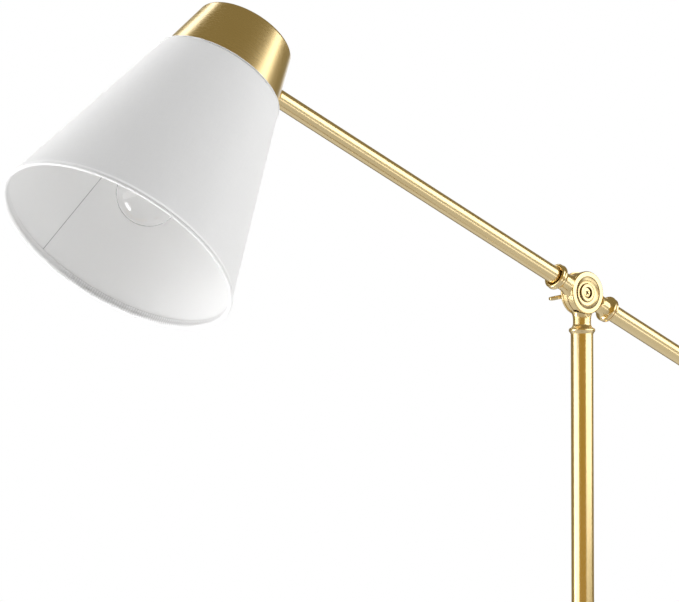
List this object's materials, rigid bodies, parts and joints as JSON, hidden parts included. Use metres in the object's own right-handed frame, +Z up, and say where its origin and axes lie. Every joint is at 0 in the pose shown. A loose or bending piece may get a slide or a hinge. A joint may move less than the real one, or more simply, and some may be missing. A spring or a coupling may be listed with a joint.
{
  "type": "floor lamp",
  "caption": "Floor lamp with a counterweighted arm that tilts on a wing-nut swivel above a straight pole, a tilting cone fabric shade with a metal cap, and a round weighted base.",
  "frame": {"origin": "centre of the base pad's underside, on the floor under the pole", "axes": "+Z up the pole, -X toward the shade, -Y toward the side that shows the swivel's screw"},
  "size_m": [1.0161, 0.28, 1.5053],
  "materials": {
    "brass": "satin brushed brass finish",
    "cast_weight": "black painted casting",
    "pad": "matt non-slip pad",
    "zinc": "zinc plated steel",
    "fibre": "vulcanised fibre",
    "bushing": "black moulded bushing",
    "fabric": "white woven fabric",
    "lining": "white styrene lining",
    "socket": "black moulded resin",
    "glass": "clear glass",
    "filament": "fine wire"
  },
  "bodies": {
    "stand": {"base_pad": "pad", "base_weight": "cast_weight", "base_cover": "brass", "base_washer": "zinc", "base_nut": "zinc", "base_pipe": "zinc", "cord_bushing": "bushing", "pole_foot_collar": "brass", "pole_lower": "brass", "lower_coupling": "brass", "pole_middle": "brass", "upper_coupling": "brass", "pole_upper": "brass", "pole_collar": "brass", "rear_swivel": "brass", "friction_washer": "fibre", "pivot_screw": "brass"},
    "wing_nut": {"wing_nut": "brass"},
    "arm": {"front_swivel": "brass", "arm_collar": "brass", "arm_tube": "brass", "arm_end_fitting": "brass", "tail_collar": "brass", "tail_tube": "brass", "tail_plug": "zinc", "counterweight": "brass"},
    "head": {"brass_cap": "brass", "cap_nut": "brass", "head_pipe": "zinc", "head_pipe_nuts": "zinc", "head_yoke": "zinc", "pivot_bolt": "zinc", "pivot_lock_nut": "zinc", "pivot_washers": "fibre", "shade_spider": "zinc", "shade_fabric": "fabric", "shade_lining": "lining", "rim_binding": "fabric", "rim_wire": "zinc", "socket_cap": "brass", "socket_body": "socket", "socket_shell": "brass", "socket_contact": "brass", "bulb_base": "zinc", "bulb_glass": "glass", "bulb_stem": "glass", "bulb_filament": "filament"}
  },
  "joints": [
    {"name": "arm_tilt", "type": "hinge", "parent": "stand", "child": "arm", "pos_m": [0, 0, 1.26], "axis": [0, 1, 0], "range_deg": [-52.8, 7.2]},
    {"name": "head_tilt", "type": "hinge", "parent": "arm", "child": "head", "pos_m": [-0.42378, 0, 1.43814], "axis": [0, 1, 0], "range_deg": [-28, 20]},
    {"name": "wing_nut_turn", "type": "hinge", "parent": "stand", "child": "wing_nut", "pos_m": [0, 0, 1.26], "axis": [0, 1, 0], "range_deg": [-180, 180]}
  ]
}
